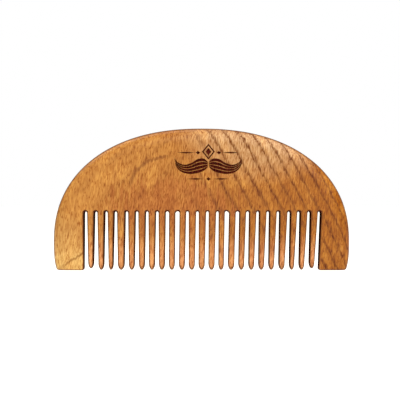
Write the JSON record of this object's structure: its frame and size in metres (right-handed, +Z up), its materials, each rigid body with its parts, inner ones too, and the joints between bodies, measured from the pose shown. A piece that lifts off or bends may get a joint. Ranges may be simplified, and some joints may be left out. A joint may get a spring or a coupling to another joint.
{
  "type": "beard comb",
  "caption": "Half-moon wooden beard comb: a rounded spine over a row of blunt, tapered teeth between broad end guards, with an engraved moustache ornament.",
  "frame": {"origin": "middle of the comb's footprint, level with the flat feet of the guards", "axes": "+X along the length, +Y through the thickness towards the plain back face, so the engraved face looks to -Y, +Z up from the teeth to the spine"},
  "size_m": [0.12, 0.008, 0.0575],
  "materials": {
    "wood": "oiled satin, burnt engraving and burnt slot walls"
  },
  "bodies": {
    "root": {"spine": "wood", "guard_left": "wood", "guard_right": "wood", "tooth_01": "wood", "tooth_02": "wood", "tooth_03": "wood", "tooth_04": "wood", "tooth_05": "wood", "tooth_06": "wood", "tooth_07": "wood", "tooth_08": "wood", "tooth_09": "wood", "tooth_10": "wood", "tooth_11": "wood", "tooth_12": "wood", "tooth_13": "wood", "tooth_14": "wood", "tooth_15": "wood", "tooth_16": "wood", "tooth_17": "wood", "tooth_18": "wood", "tooth_19": "wood", "tooth_20": "wood", "tooth_21": "wood", "tooth_22": "wood", "tooth_23": "wood"}
  },
  "joints": []
}
